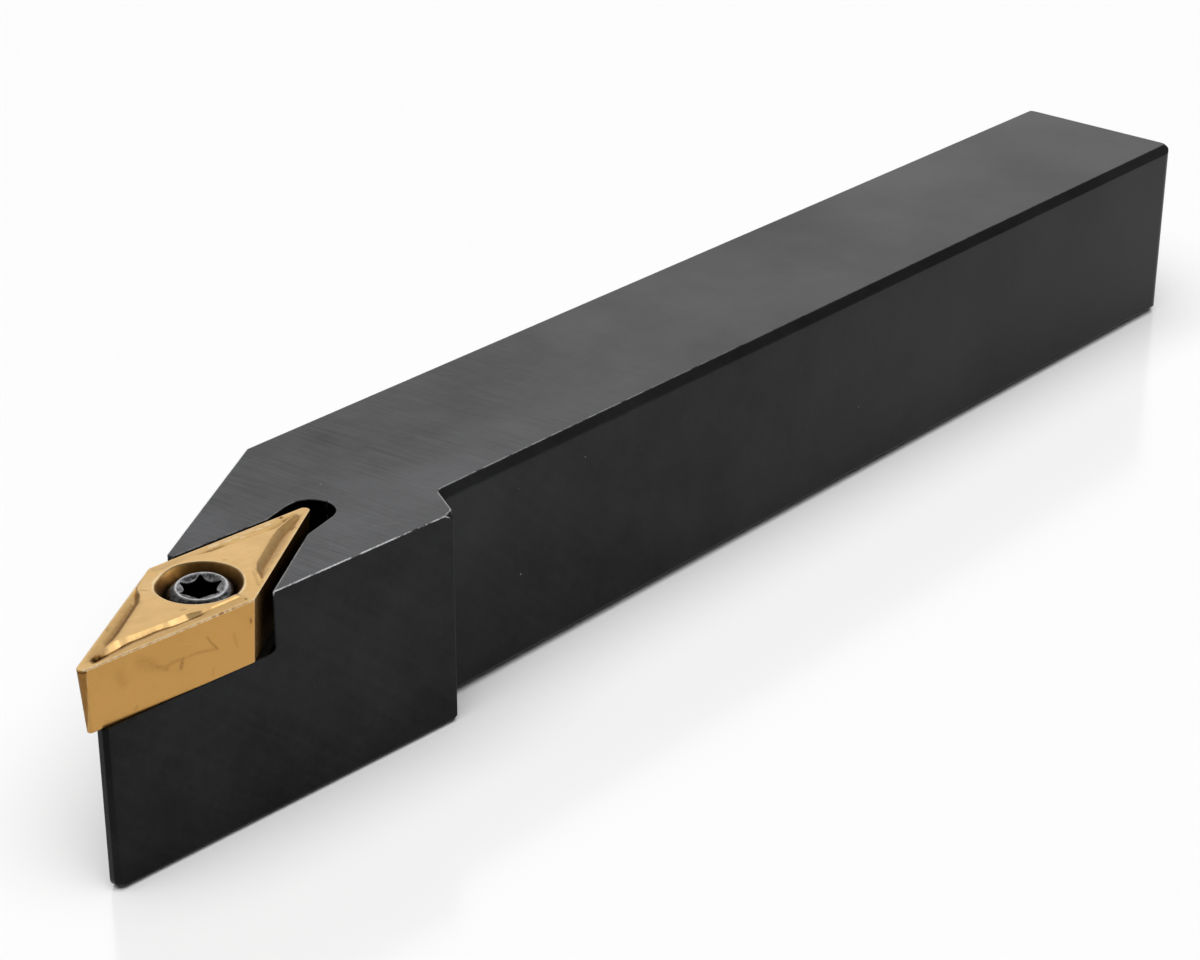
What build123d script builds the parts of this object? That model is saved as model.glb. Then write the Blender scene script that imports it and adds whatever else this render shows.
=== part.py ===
from build123d import *
import math
import os

# A right-hand external turning tool: a square steel shank with an offset head,
# a 35 degree rhombic insert lying in a pocket, and the countersunk screw that clamps it.
# All lengths are in millimetres and all angles in degrees.
# While it is built, x runs from the cutting nose to the back end, y from the
# shank's near face to its far face, and z up from its base.

# Shank
overall_length = 152.4
shank_width = 19.05
shank_height = 19.05
top_chamfer_across = 0.97
top_chamfer_down = 0.6
base_chamfer = 0.76
back_corner_radius = 1.6
back_edge_break = 0.27

# Head
head_length = 36.3
head_overhang = 2.87
head_side_angle = 2.87
shoulder_angle = 61.5
shoulder_fillet = 1.0
step_top_break = 0.6
step_foot_break = 0.5
step_break_slant = 1.6
nose_start = 1.55
nose_foot_radius = 0.9
flank_start_offset = 0.27
flank_setback_at_bevel = 0.7
bevel_start_past_insert = 3.1
bevel_start_radius = 0.6
bevel_angle = 29.0
bevel_end_radius = 2.5
head_foot_break = 0.3

# Insert
inscribed_circle = 9.525
point_angle = 35.0
nose_radius = 0.45
nose_radius_at_base = 0.27
insert_thickness = 5.45
insert_relief_angle = 3.0
cutting_edge_angle = 4.5
nose_overhang = 1.01
insert_proud = 0.3
insert_rim_diameter = 6.54
insert_bore_diameter = 4.4
seat_cone_angle = 60.0

# The two raised fields of the insert's top, each from a sharp corner to past the hole
field_rise = 0.2
field_tip_distance = 2.5
field_margin = 0.6
field_front_end = 16.1
field_side_end = 12.4
field_inner_reach = 3.2
field_rim_flare = 0.3

# Chipbreaker grooves, each by its stations along the edge from the sharp corner:
# distance along the edge, width to the foot of the back wall, width to its top, depth
land_width = 0.2
first_groove = [
    (2.2, 0.45, 0.78, 0.1),
    (4.6, 1.15, 1.42, 0.15),
    (5.6, 1.35, 1.62, 0.15),
    (9.6, 1.3, 1.5, 0.06),
]
second_groove = [(9.6, 1.15, 1.42, 0.12), (12.2, 1.05, 1.3, 0.12)]
third_groove = [(12.2, 0.88, 1.13, 0.06), (13.4, 0.85, 1.0, 0.06), (16.3, 0.9, 1.05, 0.04)]
side_groove = [
    (2.0, 0.3, 0.6, 0.1),
    (4.5, 0.5, 1.1, 0.2),
    (6.5, 0.5, 1.4, 0.2),
    (12.0, 0.5, 1.35, 0.2),
    (13.4, 0.3, 0.45, 0.08),
]

# Pocket
seat_clearance = 0.03
rear_wall_gap = 0.82
rear_wall_fillet = 0.5
wall_relief_gap = 0.83
wall_relief_depth = 1.6
wall_tip_break = 0.8
corner_slot_width = 4.3
corner_slot_length = 3.5
corner_slot_setback = 1.0
corner_slot_offset = 0.13
corner_slot_extra_depth = 0.5

# Clamping screw
screw_length = 12.0
screw_head_diameter = 5.26
screw_crown_diameter = 3.96
screw_crown_drop = 0.1
screw_crown_bulge = 0.12
screw_neck_diameter = 3.9
screw_pitch_diameter = 3.55
screw_thread_length = 7.0
screw_tip_chamfer = 0.4
thread_clearance = 0.03
thread_depth_below_floor = 8.0
lower_bore_diameter = 4.6
drive_across = 3.4
drive_waist = 2.42
drive_lobe_radius = 0.27
drive_depth = 1.9
drive_turn = 40.7

# Worked out from the sizes above: the heights of the insert's two faces
insert_top = shank_height + insert_proud
pocket_floor = insert_top - insert_thickness

# The insert's own size and place
edge_length = inscribed_circle / math.sin(math.radians(point_angle))
half_point_degrees = point_angle / 2
half_point = math.radians(half_point_degrees)
half_long = edge_length * math.cos(half_point)
half_short = edge_length * math.sin(half_point)
relief_slope = math.tan(math.radians(insert_relief_angle))
lean = insert_thickness * relief_slope
diagonal_angle = half_point_degrees - cutting_edge_angle
diagonal = Vector(1, 0).rotate(Axis.Z, diagonal_angle)
nose_centre = Vector(nose_radius, nose_radius - nose_overhang)
sharp_nose = nose_centre - diagonal * (nose_radius / math.sin(half_point))
insert_centre = sharp_nose + diagonal * half_long
insert_place = Pos(insert_centre.X, insert_centre.Y, 0) * Rot(0, 0, diagonal_angle)

# Edge directions seen from above: the cutting edge, and the trailing edge behind it
front_direction = Vector(1, 0).rotate(Axis.Z, -cutting_edge_angle)
trailing_direction = front_direction.rotate(Axis.Z, point_angle)
front_inward = front_direction.rotate(Axis.Z, 90)
trailing_inward = trailing_direction.rotate(Axis.Z, -90)

# Solids of revolution and boxes stand on their own base
upright = (Align.CENTER, Align.CENTER, Align.MIN)


def meet(point_a, direction_a, point_b, direction_b):
    """The point where two lines in plan cross."""
    cross = direction_a.X * direction_b.Y - direction_a.Y * direction_b.X
    gap = point_b - point_a
    along = (gap.X * direction_b.Y - gap.Y * direction_b.X) / cross
    return point_a + direction_a * along


def prism(outline, bottom, top):
    """A straight prism over a plan outline."""
    return Pos(0, 0, bottom) * extrude(outline, top - bottom)


def plan_face(points):
    """A flat face from points in plan."""
    return make_face(Polyline(*[(p.X, p.Y) for p in points], close=True))


def near(shapes, point):
    """The one shape whose middle lies closest to a point."""
    return min(shapes, key=lambda shape: (shape.center() - point).length)


# Plan corners of the head
head_side = Vector(1, 0).rotate(Axis.Z, -head_side_angle)
shoulder = Vector(1, 0).rotate(Axis.Z, shoulder_angle)
step_corner = Vector(head_length, -head_overhang)
shoulder_foot = meet(step_corner, shoulder, Vector(0, 0), Vector(1, 0))
flank_start = Vector(nose_start, -flank_start_offset)
nose_face = meet(flank_start, Vector(0, 1), step_corner, head_side)
bevel_start = (
    sharp_nose
    + trailing_direction * (edge_length + bevel_start_past_insert)
    + trailing_inward * flank_setback_at_bevel
)
bevel = Vector(1, 0).rotate(Axis.Z, bevel_angle)
bevel_end = meet(bevel_start, bevel, Vector(0, shank_width), Vector(1, 0))


def shank_bar():
    """The bar with its long edges chamfered and its back corners rounded."""
    profile = Polyline(
        (base_chamfer, 0),
        (shank_width - base_chamfer, 0),
        (shank_width, base_chamfer),
        (shank_width, shank_height - top_chamfer_down),
        (shank_width - top_chamfer_across, shank_height),
        (top_chamfer_across, shank_height),
        (0, shank_height - top_chamfer_down),
        (0, base_chamfer),
        close=True,
    )
    bar = extrude(Plane.YZ * make_face(profile), overall_length)
    corners = bar.edges().filter_by(Axis.Z).sort_by(Axis.X)[-2:]
    bar = fillet(corners, back_corner_radius)
    back = bar.faces().sort_by(Axis.X)[-1]
    upper = near(back.edges(), back.center() + Vector(0, 0, shank_height))
    lower = near(back.edges(), back.center() - Vector(0, 0, shank_height))
    return chamfer([upper, lower], back_edge_break)


def head_block():
    """The head's offset block, square-edged, standing out from the bar's near side."""
    inside = shank_width / 2
    inner_corner = meet(step_corner, shoulder, Vector(0, top_chamfer_across), Vector(1, 0))
    block_end = inner_corner + Vector(inside, 0)
    far_end = Vector(block_end.X, inside)
    far_start = Vector(flank_start.X, inside)
    points = [nose_face, step_corner, inner_corner, block_end, far_end, far_start]
    outline = plan_face(points)
    outline = fillet(near(outline.vertices(), inner_corner), shoulder_fillet)
    return prism(outline, 0, shank_height)


def head_outline():
    """The whole holder's plan outline, with the bevel's ends rounded."""
    back = overall_length + shank_width
    far = Vector(back, shank_width)
    beyond = Vector(back, -shank_width)
    below = Vector(step_corner.X, -shank_width)
    points = [nose_face, step_corner, below, beyond, far, bevel_end, bevel_start, flank_start]
    outline = plan_face(points)
    outline = fillet(near(outline.vertices(), bevel_end), bevel_end_radius)
    return fillet(near(outline.vertices(), bevel_start), bevel_start_radius)


def side_profile():
    """The head's outline from the side, with the nose's foot rounded."""
    reach = overall_length + shank_width
    corners = [(nose_start, 0), (reach, 0), (reach, shank_height), (nose_start, shank_height)]
    outline = make_face(Polyline(*corners, close=True))
    outline = fillet(near(outline.vertices(), Vector(nose_start, 0)), nose_foot_radius)
    return extrude(Plane.XZ * outline, shank_width * 2, both=True)


def corner_chip(height, size):
    """A flat cut across the step corner, at the head's top or its foot."""
    inward = -1 if height > 0 else 1
    corner = step_corner + Vector(0, 0, height)
    on_side = corner - head_side * size * step_break_slant
    on_shoulder = corner + shoulder * size
    on_upright = corner + Vector(0, 0, inward * size)
    normal = (on_side - on_upright).cross(on_shoulder - on_upright).normalized()
    outward = normal if normal.dot(corner - on_upright) > 0 else normal * -1
    return Plane(on_upright, z_dir=outward) * Box(size * 8, size * 8, size * 2, align=upright)


def body_blank():
    """The holder before its pocket is milled."""
    blank = shank_bar() + head_block()
    blank = blank & prism(head_outline(), 0, shank_height)
    blank = blank & side_profile()
    concave = near(blank.edges().filter_by(Axis.Z), shoulder_foot + Vector(0, 0, shank_height / 2))
    blank = fillet(concave, shoulder_fillet)
    foot = near(blank.edges(), (nose_face + step_corner) / 2)
    blank = chamfer(foot, head_foot_break)
    return blank - corner_chip(shank_height, step_top_break) - corner_chip(0, step_foot_break)


def insert_pocket():
    """The space milled for the insert, from the pocket's floor up through the head's top."""
    far_corner = sharp_nose + trailing_direction * edge_length
    near_corner = sharp_nose + front_direction * edge_length
    rear_start = near_corner + trailing_inward * rear_wall_gap
    reach = edge_length * 2
    sections = []
    for height in (pocket_floor, insert_top):
        rise = (insert_top - height) * relief_slope
        wall_start = far_corner + front_inward * (seat_clearance - rise)
        inner = meet(wall_start, front_direction, rear_start, trailing_direction)
        beside = inner - front_direction * reach
        before = inner - trailing_direction * reach
        corners = [inner, beside, beside - trailing_direction * reach, before]
        outline = Polyline(*[(p.X, p.Y, height) for p in corners], close=True)
        sections.append(make_face(outline))
    space = loft(sections, ruled=True)
    foot_middle = rear_start + trailing_direction * (edge_length - reach / 2)
    wall_foot = near(space.edges(), foot_middle + Vector(0, 0, pocket_floor))
    return fillet(wall_foot, rear_wall_fillet)


def wall_relief():
    """The wider top of the pocket along its far wall, clear of the insert's rear edge."""
    corner = sharp_nose + (trailing_direction + front_direction) * edge_length
    outer = corner + front_inward * wall_relief_gap
    inner = corner - front_inward * wall_relief_gap
    reach = front_direction * edge_length * 2
    outline = plan_face([inner, outer, outer - reach, inner - reach])
    return prism(outline, shank_height - wall_relief_depth, insert_top)


def wall_tip_cut():
    """A flat cut across the thin tip where the far wall runs out through the bevelled side."""
    corner = sharp_nose + (trailing_direction + front_direction) * edge_length
    outer = corner + front_inward * wall_relief_gap
    tip = meet(outer, front_direction, bevel_start, bevel)
    middle = tip + (front_direction + bevel).normalized() * wall_tip_break
    reach = wall_tip_break * 4
    outward = (Align.MAX, Align.CENTER, Align.MIN)
    cut = Box(reach, reach, insert_thickness, align=outward)
    turn = (bevel_angle - cutting_edge_angle) / 2
    return Pos(middle.X, middle.Y, pocket_floor) * Rot(0, 0, turn) * cut


def corner_slot():
    """The round-ended slot that keeps the insert's inner corner clear of the walls."""
    middle = half_long - corner_slot_setback - corner_slot_length / 2
    slot = SlotCenterToCenter(corner_slot_length, corner_slot_width)
    outline = insert_place * Pos(middle, -corner_slot_offset) * slot
    return prism(outline, pocket_floor - corner_slot_extra_depth, insert_top)


def screw_hole():
    """The tapped hole under the insert, opened out from the base."""
    thread_radius = screw_pitch_diameter / 2 + thread_clearance
    lower_top = pocket_floor - thread_depth_below_floor
    tapped_depth = insert_top - lower_top
    tapped = Pos(0, 0, lower_top) * Cylinder(thread_radius, tapped_depth, align=upright)
    lower = Cylinder(lower_bore_diameter / 2, lower_top, align=upright)
    return Pos(insert_centre.X, insert_centre.Y, 0) * (tapped + lower)


def holder_body():
    """The shank and head with the insert's pocket."""
    body = body_blank() - insert_pocket() - wall_relief()
    return body - wall_tip_cut() - corner_slot() - screw_hole()


def rhomb_face(inset, radius, height):
    """The insert's outline, shrunk by an inset, with rounded corners."""
    share = 1 - 2 * inset / inscribed_circle
    corners = [
        (-half_long * share, 0),
        (0, -half_short * share),
        (half_long * share, 0),
        (0, half_short * share),
    ]
    outline = make_face(Polyline(*corners, close=True))
    return Pos(0, 0, height) * fillet(outline.vertices(), radius)


def by_edge(side, distance, across, height=0):
    """A point by its distance along an edge from the sharp corner and its width inward."""
    along = Vector(1, 0).rotate(Axis.Z, half_point_degrees * side)
    inward = along.rotate(Axis.Z, -90 * side)
    return Vector(-half_long, 0, height) + along * distance + inward * across


def raised_field():
    """One raised field of the insert's top, before the grooves shape its walls."""
    outline = plan_face([
        Vector(field_tip_distance - half_long, 0),
        by_edge(-1, field_front_end, field_margin),
        by_edge(-1, field_front_end, field_inner_reach),
        by_edge(1, field_side_end, field_inner_reach),
        by_edge(1, field_side_end, field_margin),
    ])
    return prism(outline, insert_top, insert_top + field_rise)


def groove(stations, side):
    """One chipbreaker groove along an edge, lofted through its stations."""
    wall_top = insert_top + field_rise
    sections = []
    for distance, foot, width, depth in stations:
        above = wall_top + depth
        profile = [
            (land_width, insert_top),
            (foot, insert_top - depth),
            (width, wall_top),
            (width, above),
            (land_width, above),
        ]
        points = [by_edge(side, distance, across, height) for across, height in profile]
        sections.append(make_face(Polyline(*points, close=True)))
    return loft(sections, ruled=True)


def cutting_insert():
    """The rhombic insert with its conical screw seat and its chipbreaker."""
    base = rhomb_face(lean, nose_radius_at_base, pocket_floor)
    top = rhomb_face(0, nose_radius, insert_top)
    blank = loft([base, top], ruled=True)
    field = raised_field()
    blank = blank + field + Rot(0, 0, 180) * field

    rim = insert_rim_diameter / 2
    bore = insert_bore_diameter / 2
    cone_depth = (rim - bore) / math.tan(math.radians(seat_cone_angle / 2))
    half_section = Polyline(
        (0, pocket_floor),
        (bore, pocket_floor),
        (bore, insert_top - cone_depth),
        (rim, insert_top),
        (rim + field_rim_flare, insert_top + field_rise),
        (0, insert_top + field_rise),
        close=True,
    )
    blank -= revolve(Plane.XZ * make_face(half_section), Axis.Z)

    cutters = [groove(side_groove, 1)]
    for stations in (first_groove, second_groove, third_groove):
        cutters.append(groove(stations, -1))
    for cutter in cutters:
        blank -= cutter
        blank -= Rot(0, 0, 180) * cutter
    return insert_place * blank


def screw_blank():
    """The screw's turned form."""
    half_cone = math.radians(seat_cone_angle / 2)
    side_gap = seat_clearance / math.cos(half_cone)
    rim = insert_rim_diameter / 2
    crown_top = insert_top - screw_crown_drop
    crown = screw_crown_diameter / 2
    head = screw_head_diameter / 2
    neck = screw_neck_diameter / 2
    thread = screw_pitch_diameter / 2
    tip = crown_top - screw_length
    head_edge = insert_top - (rim - head - side_gap) / math.tan(half_cone)
    neck_edge = insert_top - (rim - neck - side_gap) / math.tan(half_cone)
    middle_radius = (crown + head) / 2 + screw_crown_bulge
    middle_height = (crown_top + head_edge) / 2 + screw_crown_bulge
    middle = (middle_radius, middle_height)
    sides = Polyline(
        (head, head_edge),
        (neck, neck_edge),
        (neck, tip + screw_thread_length),
        (thread, tip + screw_thread_length),
        (thread, tip + screw_tip_chamfer),
        (thread - screw_tip_chamfer, tip),
        (0, tip),
        (0, crown_top),
        (crown, crown_top),
    )
    dome = ThreePointArc((crown, crown_top), middle, (head, head_edge))
    return revolve(Plane.XZ * make_face([sides, dome]), Axis.Z)


def drive_recess():
    """The six-lobe driving recess: round lobes joined by hollow waists."""
    lobe_centre = drive_across / 2 - drive_lobe_radius
    lobe_angle = 60
    slant = math.cos(math.radians(lobe_angle / 2))
    half_waist = drive_waist / 2
    above = drive_lobe_radius**2 - lobe_centre**2 - half_waist**2
    above += 2 * lobe_centre * half_waist * slant
    below = 2 * (half_waist - lobe_centre * slant - drive_lobe_radius)
    waist_radius = above / below
    waist_centre = half_waist + waist_radius
    share = drive_lobe_radius / (drive_lobe_radius + waist_radius)
    curves = []
    for turn in range(0, 360, lobe_angle):
        lobe = Vector(lobe_centre, 0).rotate(Axis.Z, turn)
        following = Vector(lobe_centre, 0).rotate(Axis.Z, turn + lobe_angle)
        hollow_before = Vector(waist_centre, 0).rotate(Axis.Z, turn - lobe_angle / 2)
        hollow_after = Vector(waist_centre, 0).rotate(Axis.Z, turn + lobe_angle / 2)
        lobe_in = lobe + (hollow_before - lobe) * share
        lobe_tip = Vector(drive_across / 2, 0).rotate(Axis.Z, turn)
        lobe_out = lobe + (hollow_after - lobe) * share
        waist = Vector(half_waist, 0).rotate(Axis.Z, turn + lobe_angle / 2)
        next_in = following + (hollow_after - following) * share
        curves.append(ThreePointArc(lobe_in, lobe_tip, lobe_out))
        curves.append(ThreePointArc(lobe_out, waist, next_in))
    return extrude(make_face(curves), drive_depth)


def clamping_screw():
    """The countersunk screw with its driving recess."""
    crown_top = insert_top - screw_crown_drop
    recess = Pos(0, 0, crown_top - drive_depth) * Rot(0, 0, drive_turn) * drive_recess()
    return Pos(insert_centre.X, insert_centre.Y, 0) * (screw_blank() - recess)


os.makedirs("parts", exist_ok=True)
to_part_frame = Pos(-overall_length / 2, -(shank_width - head_overhang) / 2, 0)
export_step(to_part_frame * holder_body(), "parts/holder_body.step")
export_step(to_part_frame * cutting_insert(), "parts/cutting_insert.step")
export_step(to_part_frame * clamping_screw(), "parts/clamping_screw.step")
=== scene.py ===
import math

import bmesh
import bpy
from mathutils import Matrix, Vector, noise
from mathutils.geometry import delaunay_2d_cdt


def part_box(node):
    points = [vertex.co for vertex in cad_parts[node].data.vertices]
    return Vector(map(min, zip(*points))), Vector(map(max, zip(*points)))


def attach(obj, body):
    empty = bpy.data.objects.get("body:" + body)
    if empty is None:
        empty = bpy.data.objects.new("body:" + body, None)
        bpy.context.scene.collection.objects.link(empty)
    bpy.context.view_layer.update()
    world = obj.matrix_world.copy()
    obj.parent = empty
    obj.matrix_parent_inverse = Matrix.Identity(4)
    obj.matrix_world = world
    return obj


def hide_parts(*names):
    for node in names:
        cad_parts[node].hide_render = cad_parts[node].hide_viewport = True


# Lengths of the meshes are in millimetres until each piece is set in its place
MM = 0.001

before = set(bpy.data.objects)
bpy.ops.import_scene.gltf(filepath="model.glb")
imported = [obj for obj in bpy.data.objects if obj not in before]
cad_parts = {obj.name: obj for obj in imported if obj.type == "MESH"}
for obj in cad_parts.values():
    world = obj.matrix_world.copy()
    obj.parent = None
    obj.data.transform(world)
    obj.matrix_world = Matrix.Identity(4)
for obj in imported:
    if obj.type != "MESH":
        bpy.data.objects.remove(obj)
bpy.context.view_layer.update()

# The insert's own sizes, as the CAD part has them
INSCRIBED_CIRCLE = 9.525
HALF_POINT = math.radians(17.5)
EDGE_LENGTH = INSCRIBED_CIRCLE / math.sin(2 * HALF_POINT)
HALF_LONG = EDGE_LENGTH * math.cos(HALF_POINT)
HALF_SHORT = EDGE_LENGTH * math.sin(HALF_POINT)
THICKNESS = 5.45
RELIEF = math.tan(math.radians(3.0))
TOP_CORNER = 0.45
BASE_CORNER = 0.27
NOSE_RUN = TOP_CORNER / math.tan(HALF_POINT)
INSERT_TURN = math.radians(13.0)
RIM_RADIUS = 3.27
BORE_RADIUS = 2.2
CONE_ANGLE = math.radians(30.0)
CONE_SLOPE = math.tan(CONE_ANGLE)

# Edge directions and inward directions from the sharp corner, in plan
SHARP = Vector((-HALF_LONG, 0.0))
FRONT = Vector((math.cos(HALF_POINT), -math.sin(HALF_POINT)))
SIDE = Vector((math.cos(HALF_POINT), math.sin(HALF_POINT)))
FRONT_IN = Vector((math.sin(HALF_POINT), math.cos(HALF_POINT)))
SIDE_IN = Vector((math.sin(HALF_POINT), -math.cos(HALF_POINT)))

# The raised fields of the upper face: their height, where each ends and over what length
FIELD_RISE = 0.2
FIELD_FRONT_END = 15.7
FIELD_FRONT_FADE = 0.8
FIELD_REAR_END = 14.2
FIELD_REAR_FADE = 3.0
FIELD_SIDE_END = 12.35
FIELD_SIDE_SKEW = 0.12
FIELD_SIDE_PIVOT = 1.2
FIELD_SLOPE_RUN = 3.2
FIELD_TIP_START = 2.1
FIELD_TIP_RUN = 0.9
FIELD_TIP_REACH = 3.4
FIELD_EDGE_SLOPE = 0.9

# The far-left edge is ground back by this much at the obtuse corner, over this width
GROUND_BACK = 0.38
GROUND_BAND = 0.6

# The seat's mouth: its rounding, how much wider it is on the fields, and the rounding's foot
MOUTH_ROUNDING = 0.16
MOUTH_FLARE = 0.08
MOUTH_SHOULDER = 0.02
MOUTH_FOOT = 0.12
MOUTH_STEPS = 8
CONE_START = 0.21
CONE_STEPS = 14

# Chipbreaker along the cutting edge, by distance from the sharp corner:
# where the floor starts to fall, the wall's foot, the foot's height, the wall's top
LAND = 0.18
LAND_RISE = 0.01
FLOOR_CURVE = 1.5
FRONT_GROOVE = [
    (2.2, 0.25, 0.5, -0.02, 0.62),
    (2.8, 0.25, 0.68, -0.1, 0.86),
    (3.6, 0.3, 0.92, -0.12, 1.14),
    (4.25, 0.45, 1.1, -0.18, 1.42),
    (5.0, 0.55, 1.29, -0.23, 1.66),
    (5.4, 0.6, 1.38, -0.22, 1.74),
    (6.2, 0.6, 1.38, -0.13, 1.66),
    (7.3, 0.6, 1.33, -0.13, 1.61),
    (8.5, 0.6, 1.29, -0.08, 1.53),
    (9.25, 0.6, 1.25, -0.09, 1.5),
    (9.8, 0.7, 1.16, -0.13, 1.44),
    (10.4, 0.75, 1.13, -0.15, 1.45),
    (11.3, 0.75, 1.09, -0.15, 1.41),
    (12.5, 0.55, 0.97, 0.0, 1.12),
    (13.4, 0.5, 0.92, 0.08, 1.01),
    (15.6, 0.5, 0.95, 0.08, 1.04),
    (16.2, 0.5, 0.99, 0.1, 1.07),
]
# The same along the trailing edge
SIDE_GROOVE = [
    (2.0, 0.25, 0.36, -0.02, 0.6),
    (2.6, 0.25, 0.5, -0.08, 0.74),
    (3.6, 0.25, 0.66, -0.14, 1.0),
    (5.4, 0.25, 0.92, -0.2, 1.42),
    (6.5, 0.25, 1.0, -0.2, 1.5),
    (11.2, 0.25, 0.94, -0.2, 1.42),
    (12.2, 0.25, 0.76, -0.18, 1.15),
    (12.9, 0.25, 0.5, -0.1, 0.78),
    (13.4, 0.25, 0.34, -0.02, 0.5),
]

# Small raised lumps on the far groove: distance and width from the rear sharp corner, size, rise
LUMPS = [
    (10.35, 0.42, 0.75, 0.02),
    (9.15, 0.55, 0.55, 0.03),
    (8.35, 0.5, 0.42, 0.03),
    (7.9, 0.85, 0.4, 0.03),
    (7.45, 0.38, 0.4, 0.03),
    (6.75, 0.45, 0.5, 0.03),
    (6.1, 0.62, 0.4, 0.02),
    (5.2, 0.5, 0.5, 0.02),
]
LUMP_ALONG = 0.7
LUMP_ACROSS = 2.0

# Dirt and painted shade at the feet of the grooves: from and to (along, in from the edge), half width,
# strength
FRONT_DIRT_AND_SHADE = [
    ((2.55, 0.72), (3.75, 0.8), 0.19, 1.0),
    ((3.7, 0.9), (5.4, 1.2), 0.08, 0.35),
    ((5.4, 1.3), (8.6, 1.3), 0.06, 0.22),
    ((9.9, 0.86), (12.2, 0.8), 0.13, 0.5),
    ((3.4, 0.5), (16.0, 0.5), 0.38, 0.15),
]
SIDE_DIRT_AND_SHADE = [
    ((3.0, 0.84), (5.4, 1.2), 0.22, 0.36),
    ((5.4, 1.0), (11.2, 1.0), 0.42, 0.44),
    ((11.2, 1.2), (12.6, 0.72), 0.2, 0.42),
    ((3.0, 0.45), (12.4, 0.5), 0.35, 0.16),
]
REAR_FRONT_DIRT_AND_SHADE = 0.5
REAR_SIDE_DIRT_AND_SHADE = 0.75

# Marks on the near flank: from and to (distance along the edge, height), half width, strength
FLANK_MARKS = [
    ((7.1, -2.1), (8.3, -2.5), 0.18, 0.14),
    ((8.3, -2.5), (9.1, -2.4), 0.14, 0.18),
    ((9.1, -2.4), (9.9, -2.45), 0.12, 0.24),
    ((9.9, -2.45), (11.3, -2.5), 0.09, 0.2),
    ((11.3, -2.5), (13.1, -2.85), 0.1, 0.2),
    ((9.9, -2.45), (9.7, -3.2), 0.15, 0.32),
    ((7.6, -2.25), (8.5, -2.75), 0.2, 0.2),
    ((12.2, -1.55), (12.5, -2.1), 0.08, 0.26),
    ((12.5, -2.1), (13.1, -2.9), 0.09, 0.25),
    ((14.6, -2.2), (14.9, -3.4), 0.12, 0.12),
    ((16.2, -1.5), (16.25, -1.85), 0.09, 0.5),
    ((4.2, -1.5), (4.6, -2.4), 0.4, 0.1),
    ((6.2, -1.3), (7.2, -1.9), 0.55, 0.13),
    ((12.6, -5.0), (12.65, -4.3), 0.08, 0.12),
    ((5.5, -5.0), (5.7, -4.8), 0.09, 0.2),
]
# Marks on the upper face, in the insert's own plan frame
FACE_MARKS = [
    ((-4.2, -1.4), (-4.0, -1.6), 0.12, 0.3),
    ((11.0, -1.0), (11.45, -0.98), 0.16, 0.6),
    ((12.2, 0.86), (12.4, 0.84), 0.1, 1.0),
    ((3.95, 0.35), (3.9, 0.42), 0.08, 0.35),
    ((-9.15, 1.72), (-9.0, 1.9), 0.1, 0.45),
    ((-3.05, 3.2), (-2.8, 2.6), 0.08, 0.3),
    ((3.9, -2.3), (3.3, -3.4), 0.07, 0.3),
    ((3.4, -2.6), (1.9, -4.1), 0.08, 0.25),
]
# Dark nicks on the near cutting edge: from, to, strength
EDGE_NICKS = [(12.7, 13.0, 0.35), (13.3, 13.75, 0.5), (13.95, 14.15, 0.3), (14.5, 14.7, 0.35)]

# Where marks, wear, painted shade and painted highlights of the insert begin and end
EDGE_DEPTH = 0.07
FLANK_MARGIN = 0.04
FACE_DEPTH = 0.3
REAR_FLANK_BAND = 0.5
REAR_FLANK_START = 0.2
REAR_FLANK_RUN = 1.8
REAR_LAND_BAND = (0.3, 1.0)
REAR_LAND_RUN = (3, 13)
CUTTING_EDGE_TOP = 0.03
CUTTING_EDGE_BAND = 0.12
CUTTING_EDGE_START = 0.9
NICK_SOFTNESS = 0.1
RIM_BAND = 0.08
SEAT_MARGIN = 0.02
SEAT_EDGE = 0.03
NOSE_DEPTH = 0.06
NOSE_MARGIN = 0.1
NOSE_REACH = 1.5
NOSE_SHADE_DEPTH = 0.4

# The insert's mesh: steps round each corner, along each side, round the hole and down the flank
ARC_STEPS = 10
SIDE_STEPS = 180
RIM_STEPS = 144
FLANK_ROWS = 44
FACE_PITCH = 0.16
FACE_SHARE = 0.99
COLLAR_WIDTH = 0.07
EDGE_DROP = 0.045
CORNER_BREAK = 0.03
EDGE_INSET = 0.04
BASE_BREAK = 0.05
BORE_BREAK = 0.08
# Rounding of the cutting edge: inset, corner radius, height
EDGE_RINGS = [
    (EDGE_INSET, TOP_CORNER - CORNER_BREAK, 0.0),
    (0.012, TOP_CORNER - 0.01, -0.014),
    (0.0, TOP_CORNER, -EDGE_DROP),
]

# How near points are one: in a sheet's plan, then in a mesh (metres)
PLAN_TOLERANCE = 1e-5
SAME_POINT = 1e-6
# Closing of a mesh, and the angle from which its edges are sharp
STRAY_PASSES = 3
HOLE_SIDES = 4
SHARP_ANGLE = math.radians(24)

# The screw's own sizes, as the CAD part has them
HEAD_RADIUS = 2.63
CROWN_RADIUS = 1.98
NECK_RADIUS = 1.95
SCREW_LENGTH = 12.0
THREAD_LENGTH = 7.0
THREAD_PITCH = 0.7
CREST_RADIUS = 1.775
ROOT_RADIUS = 1.5
THREAD_FLAT = 0.15
THREAD_FLANK = 0.65
THREAD_RUNOUT = 0.5
THREAD_START = 0.6
TIP_CHAMFER = 0.4
CROWN_DROP = 0.1
SEAT_GAP = 0.03
SCREW_TURN = math.radians(40.7)

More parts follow.
